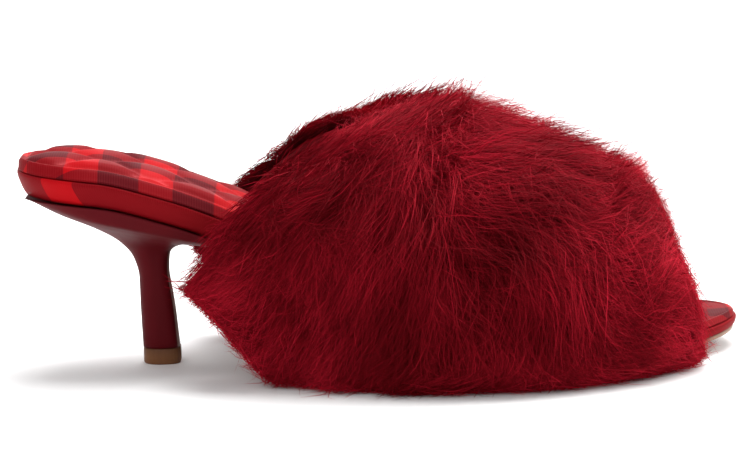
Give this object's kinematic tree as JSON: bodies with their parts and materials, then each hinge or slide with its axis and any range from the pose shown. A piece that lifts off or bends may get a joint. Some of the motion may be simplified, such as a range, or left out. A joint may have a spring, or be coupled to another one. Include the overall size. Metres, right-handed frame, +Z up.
{
  "type": "shearling mule",
  "caption": "Open-toe mule on a slim kitten heel, with a deep wool band over the instep, a quilted check satin insole and a leather covered heel.",
  "frame": {"origin": "centre of the ground face of the heel's top piece, on the floor", "axes": "+X from heel to toe, +Y to the wearer's left, which is the inner side of this right shoe, +Z up"},
  "size_m": [0.237, 0.155, 0.0893],
  "materials": {
    "sole_leather": "smooth tan sole leather",
    "rim_satin": "check satin stretched over the board",
    "pad_satin": "quilted check satin",
    "heel_leather": "smooth burgundy leather with a soft sheen",
    "top_piece_rubber": "satin brown hard rubber",
    "hide": "suede side of the sheepskin",
    "wool": "long loose wool"
  },
  "bodies": {
    "root": {"outsole": "sole_leather", "footbed": "rim_satin", "insole_pad": "pad_satin", "heel": "heel_leather", "heel_top_piece": "top_piece_rubber", "upper": "hide", "shearling": "wool"}
  },
  "joints": []
}
